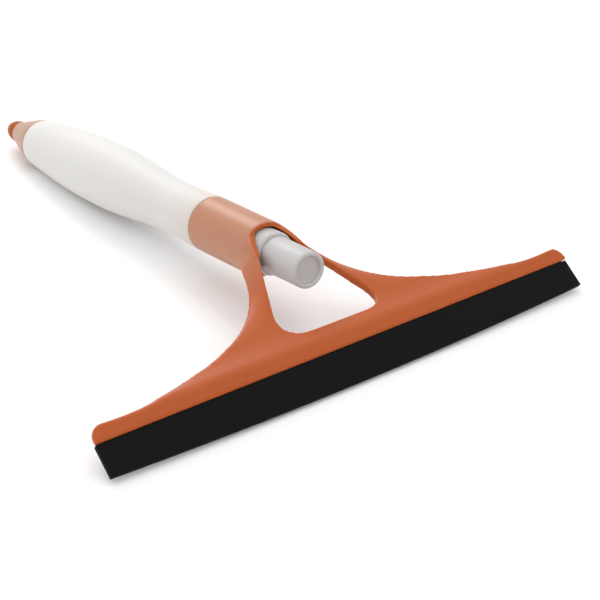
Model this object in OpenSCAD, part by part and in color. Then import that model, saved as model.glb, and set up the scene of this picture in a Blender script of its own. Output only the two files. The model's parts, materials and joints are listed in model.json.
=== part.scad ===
// Spray squeegee for windows: a moulded head with a rubber blade, and a bottle handle with a
// finger pump that stands in the head's window.
// Every part is drawn on the bench first: X runs along the blade, Y along the handle to its tail,
// and Z up, with the handle's axis on Y and the rubber leaving the bar at Y = 0.
// laid() then sets the tool down on its blade's edge and the belly of its bottle, at Z = 0.

/* [Blade] */
// Length of the rubber blade and of the bar that holds it
blade_len = 220; // [180:5:300]
// Thickness of the rubber strip
blade_t = 2; // [1.8:0.1:2.2]
// Rubber that stands out of the bar at the middle of the blade
blade_reach = 14.4; // [10:0.2:18]
// How much less the rubber stands out at the two ends
blade_bow = 2.2; // [0.5:0.1:3]
// Angle of the blade below the handle's axis
blade_angle = 42.4; // [36:0.2:48]
// Radius of the bead along the strip's root, which keeps it in the bar
bead_r = 1.5; // [1.3:0.1:1.5]

/* [Head] */
// Drop from the handle's axis to the bar's lower lip
bar_drop = 19.3; // [18:0.1:21]
// Height of the bar above its lip
bar_h = 6.2; // [6:0.1:8]
// Thickness of the bar from front to back
bar_t = 4.8; // [4.6:0.1:5.4]
// Thickness of the bar's lip in front of the rubber
lip_t = 1.2; // [1:0.1:1.4]
// Radius of the bar's end corners
end_r = 4.6; // [2:0.2:5]
// Half width of the window between the arms, where its sides meet its front
window_half = 27.4; // [24:0.2:28]
// Radius of the window's corners
window_r = 8.5; // [3:0.5:9]
// Slope of the arms and of the mouth, from the bar up to the socket
deck_slope = 29; // [27:0.2:30]

/* [Socket] */
// Outer radius of the socket at its front
socket_front_r = 11.65; // [11.5:0.05:11.8]
// Outer radius of the socket at its rear
socket_rear_r = 12.05; // [11.8:0.05:12.2]
// Radius of the bore that takes the bottle's spigot
bore_r = 9.8; // [9.6:0.05:9.9]
// Rear face of the socket
socket_rear = 96.4; // [94:0.2:100]

/* [Bottle] */
// Radius of the bottle at its belly
belly_r = 15.35; // [14:0.05:17]
// Radius of the bottle at its waist
waist_r = 11.55; // [11:0.05:11.8]
// Wall thickness of the bottle
bottle_wall = 1.1; // [0.9:0.1:1.4]
// End of the bottle's body, where the tail cap starts
bottle_rear = 252; // [246:1:262]

/* [Pump] */
// Outer radius of the overcap at its front end
overcap_r = 7.45; // [7.3:0.05:7.5]
// Front end of the overcap
overcap_front = 28.4; // [27.6:0.1:29]
// Outer radius of the screw closure
closure_r = 8.95; // [8.6:0.05:9.1]

/* [Fits] */
// Radial gap of parts that turn or slide in one another
run_gap = 0.06; // [0.04:0.01:0.09]
// Gap beside the rubber in its slot
slot_gap = 0.08; // [0.05:0.01:0.1]
// Gap between the faces of two parts that come apart
face_gap = 0.15; // [0.1:0.05:0.3]

/* [Hidden] */

$fn = 96;
// The strip's root above the bar's lip, the middle of its thickness below the lip's face, and
// the root's length, which stops short of the wall that closes the slot's left end
root_h = 3.6;
strip_mid = lip_t + blade_t / 2;
root_len = blade_len - 4;
slot_start = -root_len / 2 - face_gap;

// The deck: the sloped plane of the arms' upper edges, which starts behind the bar
deck_y = 13;
deck_z = -15.6;
function deck(y) = deck_z + (y - deck_y) * tan(deck_slope);

// The mouth's rear edge, the front of the socket's cheeks, its lower lip, and the window's ends
mouth_rear = 57;
cheek_y = 44;
lip_y = 60;
window_front = 11;
window_knee = [11.2, 45];
window_rear = 50;
window_rear_half = 9.75;

// The outer edge of the right arm in plan, a curve from the socket's side to the bar
arm_curve = [[11.6, 76], [16.9, 30.5], [31.5, 14.4], [98, 4.2]];
arm_steps = 24;

// Where the belly's full width starts and ends along the handle, and the waist
waist_y = 120;
belly_y0 = 182;
belly_y1 = 196;
bottle_front_r = 12;
bottle_rear_r = 11.8;
rear_power = 1.6;

// The spigot in the socket, and the threaded neck in front of it
spigot_r = bore_r - run_gap;
spigot_front = 70;
neck_front = 54.2;
neck_r = 6.9;
neck_bore_r = 5.1;
shoulder_y = 66;

// The bottle's rear neck, which the tail cap screws on
tail_neck_r = 8.7;
tail_neck_bore_r = 7.4;
tail_neck_end = 258.5;

// The tail cap's taper and the plug in its end
cone_y = [bottle_rear, 258, 264, 269, 273, 277];
cone_r = [11.8, 10.8, 9.25, 7.85, 6.75, 5.7];
plug_r = 2.4;
plug_front = 271.5;
plug_len = 290 - 277;

// Pump stations along the handle
closure_front = 50.3;
turret_front = 46;
turret_r = 6.55;
turret_bore_r = 5;
flange_y = 51.9;
flange_t = 1.2;
gasket_t = 1.1;
housing_r = 3.9;
cylinder_r = 3.1;
cylinder_end = 75;
chamber_end = 80.5;
chamber_r = 1.7;
tube_socket_end = 88;
dip_r = 1.5;
dip_bore_r = 0.9;
dip_end = 246;
stem_r = 1.9;
stem_bore_r = 0.9;
stem_front = 38.5;
stem_rear = 60;
button_r = 4.7;
button_front = 33.4;
button_rear = 45.6;
nozzle_y = 36.6;
nozzle_r = 1.5;
ball_r = 1.2;
inlet_r = 0.7;
outlet_y = 57;
outlet_ball_r = 0.9;
outlet_r = 0.6;

// How far a ball's centre stands from the flat face of the hole that it sits on
function seated(ball, hole) = sqrt(ball * ball - hole * hole) + 0.02;

// The resting attitude. The blade rests on the lower rear corner of its free edge, and the bottle
// on the point of its belly at rest_y, where its side is level once the tool lies down.
rest_y = 231;
edge_y = -blade_reach * cos(blade_angle) + (lip_t + blade_t) * sin(blade_angle);
edge_z = -bar_drop - blade_reach * sin(blade_angle) - (lip_t + blade_t) * cos(blade_angle);
tilt = atan((-edge_z - bottle_r(rest_y)) / (rest_y - edge_y));

function laid_y(y, z) = y * cos(tilt) + z * sin(tilt);
function laid_z(y, z) = z * cos(tilt) - y * sin(tilt);
tip_y = cone_y[5] + plug_len;
front_y = -blade_reach * cos(blade_angle) + lip_t * sin(blade_angle);
front_z = -bar_drop - blade_reach * sin(blade_angle) - lip_t * cos(blade_angle);
mid_y = (laid_y(front_y, front_z) + laid_y(tip_y, 0)) / 2;
lift = -laid_z(edge_y, edge_z);

module laid() translate([0, -mid_y, lift]) rotate([-tilt, 0, 0]) children();

// Turns a shape drawn on Z so that its Z runs along the handle
module along(y) translate([0, y, 0]) rotate([-90, 0, 0]) children();

// A tube or, with no bore, a rod along the handle from y0 to y1
module tube(y0, y1, r, bore = 0) along(y0) difference() {
    cylinder(r = r, h = y1 - y0);
    if (bore > 0) translate([0, 0, -1]) cylinder(r = bore, h = y1 - y0 + 2);
}

// A solid turned about the handle from pairs [radius, y]
module turned(outline) rotate([90, 0, 0]) mirror([0, 0, 1]) rotate_extrude() polygon(outline);

// The strip's frame: X along the blade, Y up the strip into the bar, Z out of the lip's face
module strip_frame() translate([0, 0, -bar_drop]) rotate([blade_angle, 0, 0]) children();

// Extrudes a shape drawn with X along the handle and Y up, across the whole head
module across(width) rotate([90, 0, 90]) translate([0, 0, -width / 2])
    linear_extrude(width) children();

function curve_point(p, t) =
    p[0] * pow(1 - t, 3) + 3 * p[1] * t * pow(1 - t, 2)
    + 3 * p[2] * t * t * (1 - t) + p[3] * pow(t, 3);

// The head's outline in plan: the socket's width at the rear, flared by the two arm curves
module head_plan() {
    right = [for (i = [0:arm_steps]) curve_point(arm_curve, i / arm_steps)];
    left = [for (i = [arm_steps:-1:0]) [-right[i][0], right[i][1]]];
    front = 3.5;
    polygon(concat(right, [[98, front], [-98, front]], left));
}

module window_plan() offset(r = window_r) offset(delta = -window_r) polygon([
    window_knee, [window_rear_half, window_rear], [-window_rear_half, window_rear],
    [-window_knee[0], window_knee[1]], [-window_half, window_front], [window_half, window_front]
]);

// The arms' band seen from the side, deep by the socket and thin by the bar
module arm_side() polygon([
    [3.5, -15.7], [deck_y, deck_z + 0.2], [50, deck(50)], [57, 2.5], [62, 0.8], [70, 0],
    [76, -0.5], [76, -3], [62, -5.5], [49.5, -6], [36.7, -9.8], [22.9, -13.8], [14, -18.3], [7.4, -18.9]
]);

// The bar's outline in the strip's plane, with rounded upper corners
module bar_outline() intersection() {
    translate([-blade_len / 2, 0]) square([blade_len, bar_h]);
    hull() for (s = [-1, 1], y = [-bar_h, bar_h - end_r])
        translate([s * (blade_len / 2 - end_r), y]) circle(end_r, $fn = 48);
}

module head_solid() {
    strip_frame() translate([0, 0, -bar_t]) linear_extrude(bar_t) bar_outline();
    intersection() {
        translate([0, 0, -40]) linear_extrude(80) head_plan();
        across(200) arm_side();
    }
    difference() {
        along(cheek_y)
            cylinder(r1 = socket_front_r, r2 = socket_rear_r, h = socket_rear - cheek_y);
        // The underside, cut back to the lower lip
        across(30) polygon([
            [cheek_y - 1, -3], [cheek_y + 5, -3], [lip_y, -13], [cheek_y - 1, -13]
        ]);
    }
}

module head_frame() color([0.78, 0.47, 0.32]) laid() difference() {
    head_solid();
    // The bore for the bottle's spigot, open at both ends
    tube(cheek_y - 10, socket_rear + 1, bore_r);
    // The window between the arms
    translate([0, 0, -40]) linear_extrude(80) window_plan();
    // The mouth: everything above the deck in front of the socket
    across(24) polygon([
        [30, deck(30)], [mouth_rear, deck(mouth_rear)], [mouth_rear, 20], [30, 20]
    ]);
    // The slot for the rubber and the round groove for its bead, both open at the right end
    strip_frame() translate([slot_start, -1, -lip_t - blade_t - slot_gap])
        cube([blade_len, root_h + 1, blade_t + 2 * slot_gap]);
    strip_frame() translate([slot_start, root_h, -strip_mid]) rotate([0, 90, 0])
        cylinder(r = bead_r + slot_gap, h = blade_len);
}

// The rubber strip: a sheet with a bowed free edge, and a shorter root with a bead
module blade_strip() color([0.11, 0.11, 0.12]) laid() strip_frame() {
    bow_r = (pow(blade_len / 2, 2) + pow(blade_bow, 2)) / (2 * blade_bow);
    translate([0, 0, -lip_t - blade_t]) linear_extrude(blade_t) {
        intersection() {
            translate([-blade_len / 2, -30]) square([blade_len, 30 - face_gap]);
            translate([0, bow_r - blade_reach]) circle(bow_r, $fn = 720);
        }
        translate([-root_len / 2, -0.5]) square([root_len, root_h + 0.5]);
    }
    translate([-root_len / 2, root_h, -strip_mid]) rotate([0, 90, 0])
        cylinder(r = bead_r, h = root_len);
}

// The bottle's outer radius behind the socket
function bottle_r(y) =
    y < waist_y ? waist_r + (bottle_front_r - waist_r)
        * (1 + cos(180 * (y - socket_rear) / (waist_y - socket_rear))) / 2
    : y < belly_y0 ? waist_r + (belly_r - waist_r)
        * (1 - cos(180 * (y - waist_y) / (belly_y0 - waist_y))) / 2
    : y < belly_y1 ? belly_r
    : belly_r - (belly_r - bottle_rear_r)
        * pow((y - belly_y1) / (bottle_rear - belly_y1), rear_power);

module bottle() color([0.92, 0.91, 0.9, 0.7]) laid() {
    front = socket_rear + face_gap;
    steps = [front, 104, 112, 120, 127, 134, 141, 148, 155, 162, 169, 176, 182, 189, 196,
        203, 210, 217, 224, 231, 238, 245, bottle_rear];
    skin = [for (y = steps) [bottle_r(y), y]];
    hollow = [for (i = [len(steps) - 1:-1:1]) [bottle_r(steps[i]) - bottle_wall, steps[i]]];
    turned(concat(
        [[neck_bore_r, neck_front], [neck_r, neck_front], [neck_r, shoulder_y],
            [spigot_r, spigot_front], [spigot_r, front]],
        skin,
        [[tail_neck_r, bottle_rear], [tail_neck_r, tail_neck_end],
            [tail_neck_bore_r, tail_neck_end], [tail_neck_bore_r, bottle_rear - 2]],
        [for (i = [1:len(hollow) - 1]) hollow[i]],
        [[spigot_r - bottle_wall, front], [spigot_r - bottle_wall, spigot_front + 1],
            [neck_bore_r, shoulder_y + 1]]
    ));
}

// A flat ring between the bottle's rear neck and the tail cap
module tail_seal() color([0.9, 0.9, 0.88]) laid()
    tube(tail_neck_end, tail_neck_end + 0.9, tail_neck_r, 6.2);

// The tail cap: a tapered shell that screws on the bottle's rear neck
module tail_cap() color([0.87, 0.7, 0.6]) laid() difference() {
    turned(concat(
        [[0, bottle_rear + face_gap]],
        [for (i = [0:5]) [cone_r[i], cone_y[i] + (i == 0 ? face_gap : 0)]],
        [[0, cone_y[5]]]
    ));
    tube(bottle_rear, tail_neck_end + 0.9, tail_neck_r + run_gap);
    turned([[0, 259], [6.4, 259], [6.4, 263.5], [3.6, 271], [0, 271]]);
    tube(270, cone_y[5] + 1, plug_r + run_gap);
}

// The rounded plug in the tail cap's end: a nose on a round shank
module tail_plug() color([0.8, 0.33, 0.03]) laid() {
    nose_r = cone_r[5] - 0.1;
    nose = [for (a = [0:15:90]) [nose_r * cos(a), cone_y[5] + 1 + (plug_len - 1) * sin(a)]];
    turned(concat([[0, cone_y[5] + face_gap], [nose_r, cone_y[5] + face_gap]], nose));
    tube(plug_front, cone_y[5] + 1, plug_r);
}

// A soft ring between the pump's flange and the bottle's neck
module neck_gasket() color([0.85, 0.85, 0.83]) laid()
    tube(neck_front - gasket_t, neck_front - 0.05, neck_r - 0.3, housing_r);

// The screw closure: a skirt over the neck, a front wall, and a turret for the overcap
module pump_closure() color([0.86, 0.85, 0.84]) laid() turned([
    [turret_bore_r, turret_front], [turret_r, turret_front],
    [turret_r, closure_front], [closure_r - 0.8, closure_front],
    [closure_r, closure_front + 0.8], [closure_r, 64],
    [neck_r + run_gap, 64], [neck_r + run_gap, flange_y], [turret_bore_r, flange_y]
]);

// The pump's body: a flange on the neck, a cylinder, an inlet chamber and the tube's socket
module pump_housing() color([0.93, 0.93, 0.93]) laid() difference() {
    turned([
        [0, flange_y], [neck_r - 0.3, flange_y], [neck_r - 0.3, flange_y + flange_t],
        [housing_r, flange_y + flange_t], [housing_r, cylinder_end],
        [2.9, chamber_end - 3], [2.4, tube_socket_end], [0, tube_socket_end]
    ]);
    tube(flange_y - 1, cylinder_end - 1, cylinder_r);
    tube(cylinder_end - 2, chamber_end - 1.2, chamber_r);
    tube(chamber_end - 2, tube_socket_end, inlet_r);
    tube(chamber_end + 0.5, tube_socket_end + 1, dip_r);
}

// The ring in the housing's mouth that keeps the piston in and guides the stem
module housing_collar() color([0.9, 0.9, 0.9]) laid() difference() {
    union() {
        tube(closure_front + 0.3, flange_y, turret_bore_r - 0.05);
        tube(flange_y, 57.4, cylinder_r);
    }
    tube(closure_front - 1, 58, stem_r + 0.35);
}

// A short bush in the collar's mouth, which the stem slides in
module stem_bush() color([0.8, 0.8, 0.82]) laid()
    tube(closure_front + 0.3, 53.5, stem_r + 0.35, stem_r + run_gap);

// The tube that draws liquid from the bottle's tail
module dip_tube() color([0.95, 0.95, 0.95]) laid()
    tube(chamber_end + 0.5, dip_end, dip_r, dip_bore_r);

// The ball on the inlet's seat
module check_ball() color("silver") laid()
    translate([0, chamber_end - 1.2 - seated(ball_r, inlet_r), 0]) sphere(ball_r, $fn = 48);

// A coil spring of round wire, from y0 to y1 along the handle
module coil(y0, y1, mean_r, wire_r, turns) {
    sides = 8;
    per_turn = 14;
    n = turns * per_turn;
    pitch = (y1 - y0 - 2 * wire_r) / turns;
    rings = [for (i = [0:n]) for (j = [0:sides - 1])
        let (a = 360 * i / per_turn, b = 360 * j / sides, r = mean_r + wire_r * cos(b))
        [r * cos(a), y0 + wire_r + pitch * i / per_turn + wire_r * sin(b), r * sin(a)]];
    walls = [for (i = [0:n - 1]) for (j = [0:sides - 1])
        let (k = (j + 1) % sides)
        [i * sides + j, i * sides + k, (i + 1) * sides + k, (i + 1) * sides + j]];
    polyhedron(rings, concat(walls,
        [[for (j = [sides - 1:-1:0]) j]], [[for (j = [0:sides - 1]) n * sides + j]]));
}

// The spring behind the piston, which pushes the button out again
module return_spring() color([0.72, 0.72, 0.74]) laid() coil(65.1, cylinder_end - 1.1, 2.3, 0.25, 6);

// The piston on the stem's rear end
module piston() color([0.93, 0.93, 0.95]) laid()
    turned([
        [stem_r, 58], [2.5, 58], [cylinder_r - run_gap, 59], [cylinder_r - run_gap, 60.2],
        [2.6, 60.9], [2.6, 63], [cylinder_r - run_gap, 63.8], [cylinder_r - run_gap, 65],
        [1.2, 65], [1.2, stem_rear], [stem_r, stem_rear]
    ]);

// The hollow stem, with a seat for its small outlet ball
module pump_stem() color([0.93, 0.93, 0.93]) laid() difference() {
    tube(stem_front, stem_rear, stem_r);
    tube(stem_front - 1, 50, stem_bore_r);
    tube(outlet_y - 8, outlet_y, 1.25);
    tube(outlet_y - 1, stem_rear + 1, outlet_r);
}

// The outlet ball and the light spring that holds it on its seat
module discharge_ball() color("silver") laid()
    translate([0, outlet_y - seated(outlet_ball_r, outlet_r), 0]) sphere(outlet_ball_r, $fn = 48);

module discharge_spring() color([0.72, 0.72, 0.74]) laid()
    coil(outlet_y - 7.95, outlet_y - 1.75, 0.97, 0.12, 5);

// The spray button: a round finger piece with the stem's socket and the insert's pocket
module spray_button() color([0.93, 0.93, 0.93]) laid() difference() {
    turned([
        [0, button_front], [3.2, button_front], [4.2, button_front + 0.4],
        [button_r, button_front + 1.4], [button_r, button_rear], [0, button_rear]
    ]);
    tube(stem_front - face_gap, button_rear + 1, stem_r + run_gap);
    tube(nozzle_y - 0.5, stem_front, 0.7);
    tube(41, button_rear + 1, 3.9, 2.9);
    translate([0, nozzle_y, 0.3]) rotate([180, 0, 0]) cylinder(r = 0.6, h = 5);
    translate([0, nozzle_y, -2.4]) rotate([180, 0, 0]) cylinder(r = nozzle_r, h = 4);
}

// The insert pressed into the button's side, with the spray's fine hole
module nozzle_insert() color([0.96, 0.96, 0.96]) laid() translate([0, nozzle_y, -2.4])
    rotate([180, 0, 0]) difference() {
        cylinder(r = nozzle_r, h = 2.1);
        translate([0, 0, 1.3]) cylinder(r1 = 0.15, r2 = 0.7, h = 0.9);
        translate([0, 0, -1]) cylinder(r = 0.15, h = 3);
        translate([0, 0, -1]) cylinder(r = 0.9, h = 2);
    }

// The overcap: a thin cup over the button with a dished front end
module overcap() color([0.88, 0.87, 0.87, 0.8]) laid() {
    wall = 0.75;
    rear = closure_front - face_gap;
    rear_r = overcap_r + 0.2;
    end_y = overcap_front + 2.1;
    turned([
        [overcap_r - 1.9, overcap_front], [overcap_r - 0.4, overcap_front],
        [overcap_r, overcap_front + 0.4], [rear_r, rear], [turret_r + run_gap, rear],
        [turret_r + run_gap, turret_front - 1], [overcap_r - wall, turret_front - 2],
        [overcap_r - wall, end_y + 0.9], [0, end_y + 0.9], [0, end_y],
        [overcap_r - 1.9, end_y]
    ]);
}

head_frame();
blade_strip();
bottle();
tail_seal();
tail_cap();
tail_plug();
neck_gasket();
pump_closure();
pump_housing();
housing_collar();
dip_tube();
check_ball();
return_spring();
piston();
pump_stem();
spray_button();
nozzle_insert();
overcap();
discharge_ball();
discharge_spring();
stem_bush();
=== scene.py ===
"""A spray squeegee for windows: a moulded head with a rubber blade, a bottle for its handle, and a
finger pump under a clear overcap.

Pieces are modelled in millimetres on the bench, with X along the blade, Y along the handle's axis
to its tail and Z up, and the rubber leaves the bar at Y = 0. settle() lays each one down in place.
"""

import json
from math import asin, atan2, cos, exp, log, pi, radians, sin, tan

import bpy
from mathutils import Matrix, Vector


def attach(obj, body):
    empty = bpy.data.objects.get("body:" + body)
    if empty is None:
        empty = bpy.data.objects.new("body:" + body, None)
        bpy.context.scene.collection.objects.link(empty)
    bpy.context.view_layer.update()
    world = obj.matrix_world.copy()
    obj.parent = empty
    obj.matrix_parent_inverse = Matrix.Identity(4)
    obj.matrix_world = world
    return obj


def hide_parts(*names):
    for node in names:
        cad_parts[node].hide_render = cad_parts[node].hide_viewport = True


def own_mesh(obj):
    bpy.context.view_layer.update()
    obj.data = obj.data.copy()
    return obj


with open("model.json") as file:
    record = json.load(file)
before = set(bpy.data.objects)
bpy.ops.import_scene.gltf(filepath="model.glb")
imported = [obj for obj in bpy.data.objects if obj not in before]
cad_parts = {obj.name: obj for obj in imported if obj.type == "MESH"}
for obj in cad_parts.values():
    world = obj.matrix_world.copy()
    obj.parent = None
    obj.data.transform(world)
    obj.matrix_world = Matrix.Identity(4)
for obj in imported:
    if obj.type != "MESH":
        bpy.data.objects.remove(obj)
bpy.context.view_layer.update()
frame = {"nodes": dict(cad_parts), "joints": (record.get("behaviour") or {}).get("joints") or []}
bpy.ops.object.select_all(action="DESELECT")

# The camera stands at eye height for a tool on a table, in front of the blade and to its left.
# A short telephoto lens keeps the far end of the handle from shrinking away.
bpy.ops.object.camera_add(
    location=(-0.270608, -0.476049, 0.258644),
    rotation=(radians(61.928), radians(0.992), radians(-36.548)),
)
camera = bpy.context.object
camera.data.lens = 80.53
camera.data.sensor_width = 36
camera.data.clip_start = 0.01
bpy.context.scene.camera = camera


# The head is one orange polypropylene moulding: a round socket for the bottle, two arms that flare
# out of its sides round a window, and a bar across the front with a slot for the rubber. All is
# drawn on the bench, along the axis of the closure's hinge, 57 mm in front of that joint.
MM = 0.001
NECK_STATION = 57.0
neck_joint = next(j for j in frame["joints"] if j["name"] == "closure_turn")
handle_axis = -Vector(neck_joint["axis"])
bench_origin = Vector(neck_joint["pos_m"]) - handle_axis * NECK_STATION * MM
handle_slope = atan2(handle_axis.z, handle_axis.y)

CHEEK_Y, MOUTH_REAR, LOWER_LIP_Y, SOCKET_REAR = 44.0, 57.0, 60.0, 96.4
SOCKET_FRONT_R, SOCKET_REAR_R, BORE_R = 11.65, 12.05, 9.8
BORE_MID, BORE_LEN = 65, 90
MOUTH_HALF, MOUTH_TOP = 12.6, 25
WEB_REAR, WEB_Z, WEB_SLOPE = 15.5, -14.4, radians(4.0)
DECK_SLOPE, WEB_BLEND = radians(29.0), 3.0
CREST = [(50, 4.9), (57, 2.5), (62, 0.8), (70, 0.0), (76, -0.5)]
ARM_CURVE = [(11.6, 76), (16.9, 30.5), (31.5, 14.4), (98, 4.2)]
ARM_WALL, ARM_LEAST_WIDTH, WINDOW_ALLOWANCE = 3.2, 2, 1.0
DROP_START, DROP_RATE, DROP_MOST = 17.5, 0.235, 7.2
LEVEL_START, LEVEL_LEN, LEVEL_SHARE = 50, 20, 0.85
WINDOW = [(9.9, 48), (11.2, 45), (26.8, 11)]
WINDOW_CORNER_R = 9.5
BLADE_LEN, BLADE_ANGLE, BAR_DROP = 220.0, radians(42.4), 19.3
BAR_H, BAR_T, BAR_END_R, BAR_BACK_R, LIP_T = 6.2, 4.8, 4.6, 3.4, 1.2
BLADE_T, ROOT_H, ROOT_LEN, BEAD_R, SLOT_GAP, FACE_GAP = 2.0, 3.6, 216.0, 1.5, 0.08, 0.15
strip_frame = Matrix.Translation((0, 0, -BAR_DROP)) @ Matrix.Rotation(BLADE_ANGLE, 4, "X")
ACROSS = Matrix(((0, 0, 1, 0), (1, 0, 0, 0), (0, 1, 0, 0), (0, 0, 0, 1)))
SOCKET_CUT_HALF, WINDOW_CUT_DEPTH = 15, 40
SKIN_SIZE, EDGE_ROUNDS, BEND_ROUNDS = 0.5, 8, 90


def apply_all(piece):
    """Applies the piece's modifiers in their order."""
    bpy.context.view_layer.objects.active = piece
    for modifier in list(piece.modifiers):
        bpy.ops.object.modifier_apply(modifier=modifier.name)


def choose(*pieces):
    """Selects these pieces only, the first one active."""
    bpy.ops.object.select_all(action="DESELECT")
    for piece in pieces:
        piece.select_set(True)
    bpy.context.view_layer.objects.active = pieces[0]


def pick_edges(piece, wanted):
    """Selects the edges whose two ends satisfy the wanted test, and stays in edit mode."""
    choose(piece)
    bpy.ops.object.mode_set(mode="EDIT")
    bpy.ops.mesh.select_mode(type="EDGE")
    bpy.ops.mesh.select_all(action="DESELECT")
    bpy.ops.object.mode_set(mode="OBJECT")
    for edge in piece.data.edges:
        edge.select = wanted(*(piece.data.vertices[i].co for i in edge.vertices))
    bpy.ops.object.mode_set(mode="EDIT")


def bevel_edges(piece, width, segments, wanted):
    """Bevels the edges of a piece whose two ends satisfy the wanted test."""
    pick_edges(piece, wanted)
    bpy.ops.mesh.bevel(offset=width, segments=segments)
    bpy.ops.object.mode_set(mode="OBJECT")


def face_outwards():
    """Turns all faces of the shape in edit mode outwards, and leaves edit mode."""
    bpy.ops.mesh.select_all(action="SELECT")
    bpy.ops.mesh.normals_make_consistent(inside=False)
    bpy.ops.object.mode_set(mode="OBJECT")


def cutter(outline, depth, place):
    """A prism of an outline in the place's XY plane, from depth below it to depth above it."""
    bpy.ops.mesh.primitive_circle_add(vertices=len(outline), fill_type="NGON")
    tool = bpy.context.object
    for vertex, (x, y) in zip(tool.data.vertices, outline):
        vertex.co = (x, y, -depth)
    bpy.ops.object.mode_set(mode="EDIT")
    bpy.ops.mesh.select_all(action="SELECT")
    bpy.ops.mesh.extrude_region_move(TRANSFORM_OT_translate={"value": (0, 0, 2 * depth)})
    face_outwards()
    tool.matrix_world = place
    return tool


def carve(piece, tool, operation="DIFFERENCE"):
    """Cuts the tool's shape out of the piece, or adds it, and throws the tool away."""
    cut = piece.modifiers.new("cut", "BOOLEAN")
    cut.operation = operation
    cut.object = tool
    cut.solver = "EXACT"
    choose(piece)
    apply_all(piece)
    bpy.data.objects.remove(tool)


def one_skin(piece):
    """Fuses all shells of a piece under one even skin."""
    skin = piece.modifiers.new("one skin", "REMESH")
    skin.mode = "VOXEL"
    skin.voxel_size = SKIN_SIZE
    choose(piece)
    apply_all(piece)


def soften(piece, rounds, group=""):
    """Rounds the piece's edges by relaxing its skin."""
    relax = piece.modifiers.new("soften", "SMOOTH")
    relax.iterations = rounds
    relax.factor = 0.5
    relax.vertex_group = group
    apply_all(piece)


def deck(y):
    """Height of the arms' upper edges, nearly level by the bar, then bent up to the socket."""
    rise = WEB_BLEND * log(1 + exp((y - WEB_REAR) / WEB_BLEND))
    return WEB_Z + (y - WEB_REAR) * tan(WEB_SLOPE) + rise * (tan(DECK_SLOPE) - tan(WEB_SLOPE))


def crest(y):
    """Height of an arm's upper edge, which sinks into the socket's side behind the mouth."""
    for (y0, z0), (y1, z1) in zip(CREST, CREST[1:]):
        if y0 < y <= y1:
            return z0 + (z1 - z0) * (y - y0) / (y1 - y0)
    return deck(y)


def outer_drop(y):
    """How far the arm's outer edge lies below its upper edge, less again beside the socket."""
    level = max(0, min(1, (y - LEVEL_START) / LEVEL_LEN))
    return max(0, min(DROP_MOST, (y - DROP_START) * DROP_RATE)) * (1 - LEVEL_SHARE * level)


def window_edge(y):
    """Half width of the window at a station along the handle."""
    (x0, y0), (x1, y1), (x2, y2) = WINDOW
    if y > y1:
        return x1 + (x0 - x1) * min(1, (y - y1) / (y0 - y1))
    return x1 + (x2 - x1) * (y1 - max(y, y2)) / (y1 - y2)


def on_curve(points, t):
    """A point of the cubic curve through four control points."""
    weights = [(1 - t) ** 3, 3 * t * (1 - t) ** 2, 3 * t * t * (1 - t), t**3]
    return [sum(w * p[k] for w, p in zip(weights, points)) for k in (0, 1)]


bpy.ops.mesh.primitive_cone_add(
    vertices=96,
    radius1=SOCKET_FRONT_R,
    radius2=SOCKET_REAR_R,
    depth=SOCKET_REAR - CHEEK_Y,
    location=(0, (SOCKET_REAR + CHEEK_Y) / 2, 0),
    rotation=(-pi / 2, 0, 0),
)
socket = bpy.context.object
underside = [(CHEEK_Y - 1, -3), (CHEEK_Y + 5, -3), (LOWER_LIP_Y, -13), (CHEEK_Y - 1, -13)]
carve(socket, cutter(underside, SOCKET_CUT_HALF, ACROSS))

arm_rows, arm_columns = 56, 14
bpy.ops.mesh.primitive_grid_add(x_subdivisions=arm_columns, y_subdivisions=arm_rows, size=1)
arms = bpy.context.object
for vertex in arms.data.vertices:
    across, along = vertex.co.x + 0.5, vertex.co.y + 0.5
    outer_x, y = on_curve(ARM_CURVE, along)
    inner_x = min(window_edge(y) - WINDOW_ALLOWANCE, outer_x - ARM_LEAST_WIDTH)
    x = outer_x * across
    flare = max(0, (x - inner_x) / (outer_x - inner_x))
    bend = 0.4 * flare**2 + 0.6 * flare**2 * (3 - 2 * flare)
    vertex.co = (x, y, crest(y) - outer_drop(y) * bend)
twin = arms.modifiers.new("other arm", "MIRROR")
twin.use_clip = True
twin.merge_threshold = 0.01
wall = arms.modifiers.new("wall", "SOLIDIFY")
wall.thickness = ARM_WALL
wall.offset = 1
apply_all(arms)

bpy.ops.mesh.primitive_cube_add(size=1, scale=(BLADE_LEN, BAR_H, BAR_T))
bar = bpy.context.object
bpy.ops.object.transform_apply(location=False, rotation=False, scale=True)
bevel_edges(
    bar, BAR_END_R, segments=10, wanted=lambda a, b: min(a.y, b.y) > 0 and a.x * b.x > 0
)
end_start = BLADE_LEN / 2 - BAR_END_R - 0.01


def back_end_edge(a, b):
    """Whether two corners of the bar span an edge round the back of one end."""
    at_end = a.x * b.x > 0 and min(abs(a.x), abs(b.x)) > end_start
    return at_end and max(a.z, b.z) < 0 and max(a.y, b.y) > 0.05 - BAR_H / 2


bevel_edges(bar, BAR_BACK_R, segments=6, wanted=back_end_edge)
bar.matrix_world = strip_frame @ Matrix.Translation((0, BAR_H / 2, -BAR_T / 2))

choose(socket, arms, bar)
bpy.ops.object.transform_apply(location=True, rotation=True, scale=True)
bpy.ops.object.join()
head = bpy.context.object
one_skin(head)

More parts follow.
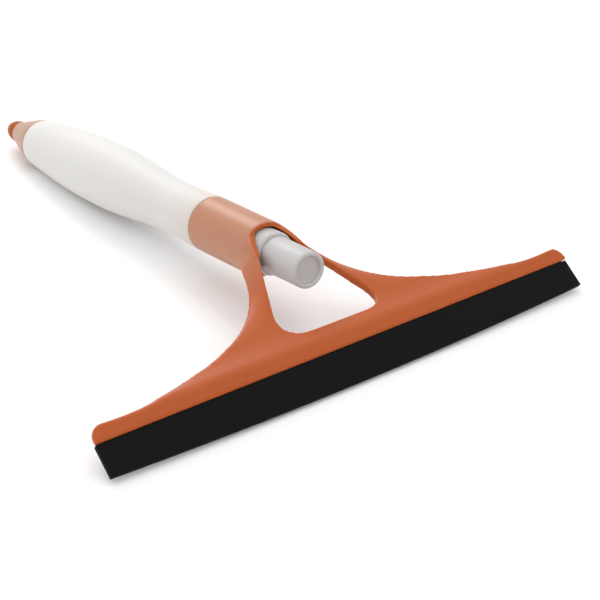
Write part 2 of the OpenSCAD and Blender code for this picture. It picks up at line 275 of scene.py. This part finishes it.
mouth_front = CHEEK_Y - 1
mouth = [(mouth_front, deck(mouth_front)), (MOUTH_REAR, deck(MOUTH_REAR))]
mouth += [(MOUTH_REAR, MOUTH_TOP), (mouth_front, MOUTH_TOP)]
carve(head, cutter(mouth, MOUTH_HALF, ACROSS))
knee_x, knee_y = WINDOW[1]
front_x, front_y = WINDOW[2]
window = cutter(WINDOW[::-1] + [(-x, y) for x, y in WINDOW], WINDOW_CUT_DEPTH, Matrix())
half_corner = (pi + atan2(front_y - knee_y, knee_x - front_x)) / 2
bevel_edges(
    window,
    WINDOW_CORNER_R / abs(tan(half_corner)),
    segments=14,
    wanted=lambda a, b: max(a.y, b.y) < front_y + 0.1 and abs(a.z - b.z) > 1,
)
carve(head, window)
one_skin(head)
soften(head, EDGE_ROUNDS)

# Two places are rounder than the rest: the bend where the bar meets the web, up to 5 mm from the
# bar's ends, and the flanks where the arms run into the socket.
BEND_Y, BEND_REACH, BEND_FLOOR, BEND_CLEAR, BEND_FADE = 4.9, 4.6, -18.0, 5, 8
FLANK_FRONT, FLANK_REAR, FLANK_TOP, FLANK_FADE = 50.0, 80.0, 7.0, 4
bend = head.vertex_groups.new(name="bar to web")
flank = head.vertex_groups.new(name="arm to socket")
for vertex in head.data.vertices:
    x, y, z = abs(vertex.co.x), vertex.co.y, vertex.co.z
    from_end = BLADE_LEN / 2 - BEND_CLEAR - x
    near = (1 - abs(y - BEND_Y) / BEND_REACH) * min(1, from_end / BEND_FADE)
    if y < BEND_Y + BEND_REACH and near > 0 and z > BEND_FLOOR:
        bend.add([vertex.index], near, "REPLACE")
    from_ends = min(y - FLANK_FRONT, FLANK_REAR - y)
    beside = min(1, (x - SOCKET_FRONT_R + 0.6) / 1.5, from_ends / FLANK_FADE)
    if beside > 0 and z < FLANK_TOP:
        flank.add([vertex.index], beside, "REPLACE")
soften(head, BEND_ROUNDS, bend.name)
soften(head, BEND_ROUNDS, flank.name)

bpy.ops.mesh.primitive_cylinder_add(
    vertices=96, radius=BORE_R, depth=BORE_LEN, location=(0, BORE_MID, 0), rotation=(-pi / 2, 0, 0)
)
carve(head, bpy.context.object)
slot_half = BLADE_T / 2 + SLOT_GAP
slot_mid = -LIP_T - BLADE_T / 2
groove_r = BEAD_R + SLOT_GAP
neck_angle = asin(slot_half / groove_r)
turns = [pi - neck_angle - k * (2 * pi - 2 * neck_angle) / 16 for k in range(17)]
slot_outline = [(-1, slot_mid - slot_half), (-1, slot_mid + slot_half)]
slot_outline += [(ROOT_H + groove_r * cos(a), slot_mid + groove_r * sin(a)) for a in turns]
slot_half_len = BLADE_LEN / 2 + 10
slot_middle = Matrix.Translation((slot_half_len - ROOT_LEN / 2 - FACE_GAP, 0, 0))
carve(head, cutter(slot_outline, slot_half_len, strip_frame @ slot_middle @ ACROSS))
lip_bevel = [(-1, 1), (-1, -LIP_T + 0.5), (0, -0.55), (1.3, 0.01), (1.3, 1)]
carve(head, cutter(lip_bevel, BLADE_LEN, strip_frame @ ACROSS))
# The faces just inside the socket's mouth are picked out for a deeper, more saturated orange:
# painted bounce light from inside the bore.
rim_r = (SOCKET_FRONT_R + BORE_R) / 2 + 0.5
bounce_painted_faces = [
    face.index
    for face in head.data.polygons
    if face.center.y > CHEEK_Y - 2 and (face.center.x**2 + face.center.z**2) ** 0.5 < rim_r
]


# A moulded plastic is never one flat colour: pigment drifts slowly along the flow of the melt, and
# the fine spark texture of the mould breaks up the gloss. SPARK_TEXTURE is its grains to the metre.
SPARK_TEXTURE, TEXTURE_DEPTH = 1400, 0.0002


def blank_finish(name):
    """A new material, with its nodes, its links, its shader and the piece's own coordinates."""
    material = bpy.data.materials.new(name)
    material.use_nodes = True
    nodes, links = material.node_tree.nodes, material.node_tree.links
    shader = nodes["Principled BSDF"]
    place = nodes.new("ShaderNodeTexCoord")
    return material, nodes, links, shader, place


def moulded(name, colour, deep, roughness, flow=35.0, grain=0.04, gloss=0.5, scatter=0.0):
    """Coloured moulded plastic, with pigment drift between two colours and a fine skin texture."""
    material, nodes, links, shader, place = blank_finish(name)
    drift = nodes.new("ShaderNodeTexNoise")
    drift.inputs["Scale"].default_value = flow
    drift.inputs["Detail"].default_value = 3
    blend = nodes.new("ShaderNodeMix")
    blend.data_type = "RGBA"
    blend.inputs["A"].default_value = (*deep, 1)
    blend.inputs["B"].default_value = (*colour, 1)
    links.new(place.outputs["Object"], drift.inputs["Vector"])
    links.new(drift.outputs["Fac"], blend.inputs["Factor"])
    links.new(blend.outputs["Result"], shader.inputs["Base Color"])
    skin = nodes.new("ShaderNodeTexNoise")
    skin.inputs["Scale"].default_value = SPARK_TEXTURE
    skin.inputs["Detail"].default_value = 2
    polish = nodes.new("ShaderNodeMapRange")
    polish.inputs["To Min"].default_value = roughness * 0.8
    polish.inputs["To Max"].default_value = roughness * 1.2
    bump = nodes.new("ShaderNodeBump")
    bump.inputs["Strength"].default_value = grain
    bump.inputs["Distance"].default_value = TEXTURE_DEPTH
    links.new(place.outputs["Object"], skin.inputs["Vector"])
    links.new(skin.outputs["Fac"], polish.inputs["Value"])
    links.new(polish.outputs["Result"], shader.inputs["Roughness"])
    links.new(skin.outputs["Fac"], bump.inputs["Height"])
    links.new(bump.outputs["Normal"], shader.inputs["Normal"])
    shader.inputs["Specular IOR Level"].default_value = gloss
    shader.inputs["Subsurface Weight"].default_value = scatter
    shader.inputs["Subsurface Radius"].default_value = (0.003, 0.0018, 0.0012)
    shader.inputs["Subsurface Scale"].default_value = 1.0
    return material


def fade(material, tint, start, end):
    """Fades a finish to a tint from one station along the tool to another, both in metres."""
    nodes, links = material.node_tree.nodes, material.node_tree.links
    colour = nodes["Principled BSDF"].inputs["Base Color"]
    blend = colour.links[0].from_node
    place = nodes.new("ShaderNodeTexCoord")
    split = nodes.new("ShaderNodeSeparateXYZ")
    share = nodes.new("ShaderNodeMapRange")
    share.interpolation_type = "SMOOTHSTEP"
    share.inputs["From Min"].default_value = start
    share.inputs["From Max"].default_value = end
    tinted = nodes.new("ShaderNodeMix")
    tinted.data_type = "RGBA"
    tinted.inputs["B"].default_value = (*tint, 1)
    links.new(place.outputs["Object"], split.inputs["Vector"])
    links.new(split.outputs["Y"], share.inputs["Value"])
    links.new(share.outputs["Result"], tinted.inputs["Factor"])
    links.new(blend.outputs["Result"], tinted.inputs["A"])
    links.new(tinted.outputs["Result"], colour)


def station(y):
    """Where a station of the handle lies along the laid tool, in metres."""
    return bench_origin.y + y * MM * cos(handle_slope)


def settle(piece, name, body, nodes, material):
    """Lays a finished piece down in its place, gives it its name, body and finish, and hides the
    nodes it stands in for.
    """
    choose(piece)
    piece.name = name
    piece.matrix_world = (
        Matrix.Translation(bench_origin)
        @ Matrix.Rotation(handle_slope, 4, "X")
        @ Matrix.Scale(MM, 4)
        @ piece.matrix_world
    )
    bpy.ops.object.transform_apply(location=True, rotation=True, scale=True)
    bpy.ops.object.shade_smooth_by_angle(angle=radians(32))
    piece.data.materials.clear()
    piece.data.materials.append(material)
    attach(piece, body)
    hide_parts(*nodes)
    bpy.ops.object.select_all(action="DESELECT")
    return piece


head_orange = moulded(
    "head_orange",
    (0.47, 0.092, 0.011),
    (0.41, 0.075, 0.008),
    roughness=0.4,
    gloss=0.32,
    scatter=0.3,
)
# Towards the socket the orange fades to a pale tint. This is partly the moulding's own tone and
# partly a painted highlight for the light its round sides catch.
fade(head_orange, (0.47, 0.21, 0.125), station(30), station(64))
# Painted bounce light: a more saturated orange for the faces inside the socket's mouth.
rim_painted_bounce = moulded(
    "rim_painted_bounce", (0.52, 0.105, 0.008), (0.46, 0.085, 0.006), roughness=0.4, gloss=0.3, scatter=0.4
)
settle(head, "squeegee_head", "head", ["head_frame"], head_orange)
head.data.materials.append(rim_painted_bounce)
for index in bounce_painted_faces:
    head.data.polygons[index].material_index = 1

# The blade is one extruded black rubber strip: a flat sheet with a bowed free edge and sharp
# corners, and a shorter root with a round bead that slides into the bar's slot from the side.
BLADE_REACH, BLADE_BOW, ROOT_OVERLAP = 14.4, 2.2, 0.5
blade_cuts = 47
bpy.ops.mesh.primitive_cube_add(size=1, location=(0, -(BLADE_REACH + FACE_GAP) / 2, 0))
blade = bpy.context.object
blade.scale = (BLADE_LEN, BLADE_REACH - FACE_GAP, BLADE_T)
bpy.ops.object.transform_apply(location=True, rotation=False, scale=True)
pick_edges(blade, lambda a, b: abs(a.x - b.x) > 1)
bpy.ops.mesh.subdivide(number_cuts=blade_cuts)
bpy.ops.object.mode_set(mode="OBJECT")
for vertex in blade.data.vertices:
    if vertex.co.y < -BLADE_REACH / 2:
        vertex.co.y = -BLADE_REACH + BLADE_BOW * (2 * vertex.co.x / BLADE_LEN) ** 2
bpy.ops.mesh.primitive_cube_add(size=1, location=(0, (ROOT_H - ROOT_OVERLAP) / 2, 0))
root = bpy.context.object
root.scale = (ROOT_LEN, ROOT_H + ROOT_OVERLAP, BLADE_T)
carve(blade, root, "UNION")
bpy.ops.mesh.primitive_cylinder_add(
    vertices=32, radius=BEAD_R, depth=ROOT_LEN, location=(0, ROOT_H, 0), rotation=(0, pi / 2, 0)
)
carve(blade, bpy.context.object, "UNION")
edges = blade.modifiers.new("moulded edges", "BEVEL")
edges.width = 0.12
edges.segments = 2
edges.angle_limit = radians(40)
apply_all(blade)
blade.matrix_world = strip_frame @ Matrix.Translation((0, 0, slot_mid))


def rubber(name, colour, roughness):
    """Black extruded rubber: a bloom of paler dust and faint lines along the strip."""
    material, nodes, links, shader, place = blank_finish(name)
    along = nodes.new("ShaderNodeMapping")
    along.inputs["Scale"].default_value = (12, 900, 900)
    lines = nodes.new("ShaderNodeTexNoise")
    lines.inputs["Scale"].default_value = 1
    lines.inputs["Detail"].default_value = 4
    dust = nodes.new("ShaderNodeTexNoise")
    dust.inputs["Scale"].default_value = 60
    dust.inputs["Detail"].default_value = 6
    shade = nodes.new("ShaderNodeMix")
    shade.data_type = "RGBA"
    shade.inputs["A"].default_value = (*colour, 1)
    shade.inputs["B"].default_value = (*(2.2 * c for c in colour), 1)
    polish = nodes.new("ShaderNodeMapRange")
    polish.inputs["To Min"].default_value = roughness - 0.08
    polish.inputs["To Max"].default_value = roughness + 0.1
    bump = nodes.new("ShaderNodeBump")
    bump.inputs["Strength"].default_value = 0.08
    bump.inputs["Distance"].default_value = TEXTURE_DEPTH
    links.new(place.outputs["Object"], along.inputs["Vector"])
    links.new(along.outputs["Vector"], lines.inputs["Vector"])
    links.new(place.outputs["Object"], dust.inputs["Vector"])
    links.new(dust.outputs["Fac"], shade.inputs["Factor"])
    links.new(shade.outputs["Result"], shader.inputs["Base Color"])
    links.new(dust.outputs["Fac"], polish.inputs["Value"])
    links.new(polish.outputs["Result"], shader.inputs["Roughness"])
    links.new(lines.outputs["Fac"], bump.inputs["Height"])
    links.new(bump.outputs["Normal"], shader.inputs["Normal"])
    shader.inputs["Specular IOR Level"].default_value = 0.09
    return material


blade_rubber = rubber("blade_rubber", (0.0027, 0.0027, 0.003), roughness=0.6)
settle(blade, "rubber_blade", "blade", ["blade_strip"], blade_rubber)


# The bottle is the handle: a milky blow-moulded shell with a waist for the fingers and a full
# belly, a spigot that pushes into the socket, and a neck at each end.
def turned(outline, steps=96):
    """A solid of revolution about the handle's axis from a closed outline of (radius, station)."""
    bpy.ops.mesh.primitive_circle_add(vertices=len(outline), fill_type="NOTHING")
    piece = bpy.context.object
    for vertex, (radius, y) in zip(piece.data.vertices, outline):
        vertex.co = (radius, y, 0)
    bpy.ops.object.mode_set(mode="EDIT")
    bpy.ops.mesh.select_all(action="SELECT")
    bpy.ops.mesh.spin(steps=steps, angle=2 * pi, center=(0, 0, 0), axis=(0, 1, 0))
    bpy.ops.mesh.select_all(action="SELECT")
    bpy.ops.mesh.remove_doubles(threshold=0.002)
    bpy.ops.mesh.delete_loose()
    face_outwards()
    return piece


def ease_edges(piece, width, segments=3):
    """Rounds the piece's sharp edges by a small width."""
    edges = piece.modifiers.new("eased edges", "BEVEL")
    edges.width = width
    edges.segments = segments
    edges.angle_limit = radians(35)
    choose(piece)
    apply_all(piece)


WAIST_Y, BELLY_START, BELLY_END, BOTTLE_REAR = 120.0, 182.0, 196.0, 252.0
BOTTLE_FRONT_R, WAIST_R, BELLY_R, BOTTLE_REAR_R = 12.0, 11.55, 15.35, 11.8
BOTTLE_WALL, TAIL_TAPER = 1.1, 1.6
NECK_FRONT, NECK_R, NECK_BORE_R, SHOULDER_Y = 54.2, 6.9, 5.1, 66.0
RUN_GAP = 0.06
SPIGOT_FRONT, SPIGOT_R = 70.0, BORE_R - RUN_GAP
TAIL_NECK_R, TAIL_NECK_BORE_R, TAIL_NECK_END = 8.7, 7.4, 258.45


def bottle_radius(y):
    """Outer radius of the bottle behind the socket."""
    if y < WAIST_Y:
        fall = (1 + cos(pi * (y - SOCKET_REAR) / (WAIST_Y - SOCKET_REAR))) / 2
        return WAIST_R + (BOTTLE_FRONT_R - WAIST_R) * fall
    if y < BELLY_START:
        rise = (1 - cos(pi * (y - WAIST_Y) / (BELLY_START - WAIST_Y))) / 2
        return WAIST_R + (BELLY_R - WAIST_R) * rise
    taper = max(0, y - BELLY_END) / (BOTTLE_REAR - BELLY_END)
    return BELLY_R - (BELLY_R - BOTTLE_REAR_R) * taper**TAIL_TAPER


bottle_front = SOCKET_REAR + FACE_GAP
body_length, body_steps = BOTTLE_REAR - bottle_front, 60
stations = [bottle_front + body_length * k / body_steps for k in range(body_steps + 1)]
outside = [(bottle_radius(y), y) for y in stations]
inside = [(bottle_radius(y) - BOTTLE_WALL, y) for y in reversed(stations[1:-1])]
spigot_bore_r = SPIGOT_R - BOTTLE_WALL
bottle = turned(
    [(NECK_BORE_R, NECK_FRONT), (NECK_R, NECK_FRONT), (NECK_R, SHOULDER_Y)]
    + [(SPIGOT_R, SPIGOT_FRONT), (SPIGOT_R, bottle_front)]
    + outside
    + [(TAIL_NECK_R, BOTTLE_REAR), (TAIL_NECK_R, TAIL_NECK_END)]
    + [(TAIL_NECK_BORE_R, TAIL_NECK_END), (TAIL_NECK_BORE_R, BOTTLE_REAR - 2)]
    + inside
    + [(spigot_bore_r, bottle_front), (spigot_bore_r, SPIGOT_FRONT + 1)]
    + [(NECK_BORE_R, SHOULDER_Y + 1)]
)
ease_edges(bottle, 0.25)
bottle_frost = moulded(
    "bottle_frost",
    (0.70, 0.675, 0.655),
    (0.67, 0.645, 0.625),
    roughness=0.55,
    flow=25,
    gloss=0.3,
    scatter=0.4,
)
# Towards the socket the bottle's white turns a warmer, darker tint. This is partly its own tone and
# partly painted shade and orange bounce light from the head.
fade(bottle_frost, (0.66, 0.59, 0.54), station(122), station(90))
settle(bottle, "spray_bottle", "bottle", ["bottle"], bottle_frost)

# The tail cap is an orange cone that screws on the bottle's rear neck. Its orange is painted pale
# all over, partly its own tone and partly a painted highlight. Its shell curves in towards a small
# round hole for the plug.
CONE = [(11.8, 252.15), (11.45, 255), (10.8, 258), (9.25, 264)]
CONE += [(7.85, 269), (6.75, 273), (5.7, 277)]
PLUG_R, PLUG_FRONT, TAIL_TIP = 2.4, 271.5, 290.0
cap_front, cone_end, cap_floor = CONE[0][1], CONE[-1][1], 259.4
cap_bore_r, plug_hole_r = TAIL_NECK_R + RUN_GAP, PLUG_R + RUN_GAP
tail_cap = turned(
    CONE
    + [(plug_hole_r, cone_end), (plug_hole_r, 271), (3.6, 271), (6.4, 263.5)]
    + [(6.4, cap_floor), (cap_bore_r, cap_floor), (cap_bore_r, cap_front)]
)
ease_edges(tail_cap, 0.2)
# Painted highlight, in part: the cone's orange is made pale all over.
cap_pale_orange = moulded(
    "cap_pale_orange", (0.47, 0.28, 0.19), (0.42, 0.235, 0.15), roughness=0.42, scatter=0.3
)
settle(tail_cap, "tail_cone", "tail_cap", ["tail_cap"], cap_pale_orange)

# The plug closes the cone's end: one solid orange moulding, a round nose on a shank that pushes
# into the cone's hole.
nose_r = CONE[-1][0] - 0.1
nose_start = cone_end + FACE_GAP
quarter = [radians(a) for a in range(0, 91, 10)]
round_start = nose_start + 1
nose = [(nose_r * cos(a), round_start + (TAIL_TIP - round_start) * sin(a)) for a in quarter]
tail_plug = turned(
    [(0, PLUG_FRONT), (PLUG_R, PLUG_FRONT), (PLUG_R, nose_start), (nose_r, nose_start)] + nose
)
ease_edges(tail_plug, 0.25)
plug_orange = moulded(
    "plug_orange", (0.36, 0.078, 0.001), (0.31, 0.065, 0.001), roughness=0.4, gloss=0.1
)
settle(tail_plug, "tail_nose", "tail_plug", ["tail_plug"], plug_orange)

# The closure is a smooth white polypropylene screw cap. Its skirt holds the pump on the neck, and
# the turret on its front takes the overcap.
CLOSURE_FRONT, CLOSURE_REAR, CLOSURE_R = 50.3, 64.0, 8.95
TURRET_FRONT, TURRET_R, TURRET_BORE_R, FLANGE_Y = 46.0, 6.55, 5.0, 51.9
closure = turned(
    [(TURRET_BORE_R, TURRET_FRONT), (TURRET_R, TURRET_FRONT), (TURRET_R, CLOSURE_FRONT)]
    + [(CLOSURE_R - 1.2, CLOSURE_FRONT), (CLOSURE_R - 0.35, CLOSURE_FRONT + 0.35)]
    + [(CLOSURE_R, CLOSURE_FRONT + 1.2), (CLOSURE_R, CLOSURE_REAR)]
    + [(NECK_R + RUN_GAP, CLOSURE_REAR), (NECK_R + RUN_GAP, FLANGE_Y), (TURRET_BORE_R, FLANGE_Y)]
)
ease_edges(closure, 0.3)
pump_white = moulded(
    "pump_white", (0.52, 0.505, 0.50), (0.48, 0.465, 0.46), roughness=0.42, scatter=0.2
)
settle(closure, "screw_closure", "closure", ["pump_closure"], pump_white)

# The overcap is a thin cup of frosted clear polypropylene with a dished front end. It snaps over
# the turret, and its rear edge rests on the closure.
OVERCAP_R, OVERCAP_FRONT, OVERCAP_WALL, ROUND_R = 7.45, 28.4, 0.75, 0.95
overcap_rear, overcap_rear_r = CLOSURE_FRONT - FACE_GAP, OVERCAP_R + 0.2
dish_y, dish_floor = OVERCAP_FRONT + 2.1, 0.9
round_over = [radians(a) for a in range(0, 181, 20)]
rim_mid, rim_y = OVERCAP_R - ROUND_R, OVERCAP_FRONT + ROUND_R
rim = [(rim_mid - ROUND_R * cos(a), rim_y - ROUND_R * sin(a)) for a in round_over]
snap_r, inner_r = TURRET_R + RUN_GAP, OVERCAP_R - OVERCAP_WALL
overcap = turned(
    [(0, dish_y), (rim_mid - 1.6, dish_y), (rim_mid - ROUND_R, dish_y - 0.5)]
    + rim
    + [(overcap_rear_r, overcap_rear), (snap_r, overcap_rear), (snap_r, TURRET_FRONT - 1)]
    + [(inner_r, TURRET_FRONT - 2), (inner_r, dish_y + 1.3), (inner_r - 0.8, dish_y + dish_floor)]
    + [(0, dish_y + dish_floor)]
)
ease_edges(overcap, 0.15, 2)
overcap_clear = moulded("overcap_clear", (0.60, 0.58, 0.58), (0.56, 0.54, 0.54), roughness=0.46)
clear_shader = overcap_clear.node_tree.nodes["Principled BSDF"]
clear_shader.inputs["Transmission Weight"].default_value = 0.15
clear_shader.inputs["IOR"].default_value = 1.49
settle(overcap, "pump_overcap", "overcap", ["overcap"], overcap_clear)

# The button is a white finger piece on the stem, with a shallow dish for the fingertip and a
# round pocket in its side for the spray insert.
BUTTON_R, BUTTON_FRONT, BUTTON_REAR, STEM_R, STEM_FRONT = 4.7, 33.4, 45.6, 1.9, 38.5
NOZZLE_Y, NOZZLE_R, POCKET_FLOOR, POCKET_DEPTH = 36.6, 1.5, 2.4, 4
stem_hole_r, stem_hole_end = STEM_R + RUN_GAP, STEM_FRONT - FACE_GAP
button = turned(
    [(0, BUTTON_FRONT + 0.5), (1.6, BUTTON_FRONT + 0.4), (3.2, BUTTON_FRONT + 0.05)]
    + [(3.8, BUTTON_FRONT), (4.4, BUTTON_FRONT + 0.35), (BUTTON_R, BUTTON_FRONT + 1.2)]
    + [(BUTTON_R, BUTTON_REAR), (3.9, BUTTON_REAR), (3.9, 41), (2.9, 41), (2.9, BUTTON_REAR)]
    + [(stem_hole_r, BUTTON_REAR), (stem_hole_r, stem_hole_end), (0, stem_hole_end)]
)
ease_edges(button, 0.15, 2)
bpy.ops.mesh.primitive_cylinder_add(
    vertices=48,
    radius=NOZZLE_R,
    depth=POCKET_DEPTH,
    location=(0, NOZZLE_Y, -POCKET_FLOOR - POCKET_DEPTH / 2),
)
carve(button, bpy.context.object)
button_white = moulded(
    "button_white", (0.82, 0.815, 0.81), (0.77, 0.765, 0.76), roughness=0.3, scatter=0.25
)
settle(button, "finger_button", "button", ["spray_button"], button_white)


# The works inside keep their true shapes: white mouldings, soft seals, a clear tube, and steel
# balls and springs.
def finish_nodes(names, material):
    """Gives these inner pieces their finish."""
    for name in names:
        node = frame["nodes"][name]
        node.data.materials.clear()
        node.data.materials.append(material)


def steel(name, roughness, anisotropy):
    """Bright stainless steel with fine drawing lines."""
    material, nodes, links, shader, place = blank_finish(name)
    lines = nodes.new("ShaderNodeTexNoise")
    lines.inputs["Scale"].default_value = 2500
    polish = nodes.new("ShaderNodeMapRange")
    polish.inputs["To Min"].default_value = roughness * 0.6
    polish.inputs["To Max"].default_value = roughness * 1.5
    links.new(place.outputs["Object"], lines.inputs["Vector"])
    links.new(lines.outputs["Fac"], polish.inputs["Value"])
    links.new(polish.outputs["Result"], shader.inputs["Roughness"])
    shader.inputs["Base Color"].default_value = (0.62, 0.62, 0.64, 1)
    shader.inputs["Metallic"].default_value = 1
    shader.inputs["Anisotropic"].default_value = anisotropy
    return material


inner_mouldings = ["pump_housing", "housing_collar", "piston", "pump_stem", "nozzle_insert"]
seal_soft = moulded("seal_soft", (0.62, 0.62, 0.58), (0.55, 0.55, 0.52), roughness=0.6, scatter=0.2)
tube_clear = moulded("tube_clear", (0.85, 0.85, 0.85), (0.8, 0.8, 0.8), roughness=0.2)
tube_clear.node_tree.nodes["Principled BSDF"].inputs["Transmission Weight"].default_value = 0.7
finish_nodes(inner_mouldings, button_white)
finish_nodes(["neck_gasket", "tail_seal", "stem_bush"], seal_soft)
finish_nodes(["dip_tube"], tube_clear)
spring_steel = steel("spring_steel", 0.22, 0.5)
finish_nodes(["discharge_spring"], spring_steel)
finish_nodes(["check_ball", "discharge_ball"], steel("ball_steel", 0.08, 0.0))

# The return spring is wound from round steel wire. It stands behind the piston in the pump's
# cylinder, drawn at one length: the real spring closes up towards the cylinder's end as the button
# is pressed, and this one does not.
COIL_START, COIL_END, COIL_R, WIRE_R, COIL_TURNS = 65.1, 73.9, 2.3, 0.25, 6
bpy.ops.mesh.primitive_circle_add(vertices=10, radius=WIRE_R, rotation=(pi / 2, 0, 0))
coil = bpy.context.object
bpy.ops.object.transform_apply(location=False, rotation=True, scale=False)
for vertex in coil.data.vertices:
    vertex.co.x += COIL_R
winding = coil.modifiers.new("winding", "SCREW")
winding.steps = 24
winding.render_steps = 24
winding.iterations = COIL_TURNS
winding.screw_offset = (COIL_END - COIL_START - 2 * WIRE_R) / COIL_TURNS
winding.use_smooth_shade = True
choose(coil)
apply_all(coil)
bpy.ops.object.mode_set(mode="EDIT")
bpy.ops.mesh.select_all(action="SELECT")
bpy.ops.mesh.fill_holes(sides=0)
face_outwards()
coil_foot = Matrix.Translation((0, COIL_START + WIRE_R, 0))
coil.matrix_world = coil_foot @ Matrix.Rotation(-pi / 2, 4, "X")
settle(coil, "return_coil", "pump", ["return_spring"], spring_steel)
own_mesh(coil)

# The tool lies on a plain white sweep, under a soft white sky, a wide softbox overhead and a
# smaller light at the back.
bpy.ops.mesh.primitive_plane_add(size=12, location=(0, 0, -0.0002))
floor = bpy.context.object
floor.name = "floor"
white = bpy.data.materials.new("floor_white")
white.use_nodes = True
floor_shader = white.node_tree.nodes["Principled BSDF"]
floor_shader.inputs["Base Color"].default_value = (0.93, 0.93, 0.93, 1)
floor_shader.inputs["Roughness"].default_value = 0.9
floor.data.materials.append(white)

bpy.context.scene.view_settings.view_transform = "Standard"
world = bpy.data.worlds.new("studio")
world.use_nodes = True
sky = world.node_tree.nodes["Background"]
sky.inputs["Color"].default_value = (1, 1, 1, 1)
sky.inputs["Strength"].default_value = 0.92
bpy.context.scene.world = world
bpy.ops.object.light_add(type="AREA", location=(-0.3, 0.1, 1.5))
softbox = bpy.context.object
softbox.data.energy = 8
softbox.data.size = 2.4
bpy.ops.object.light_add(
    type="AREA", location=(0.28, 1.0, 0.78), rotation=(radians(-53), 0, radians(-16))
)
window_light = bpy.context.object
window_light.data.energy = 4.5
window_light.data.size = 0.45
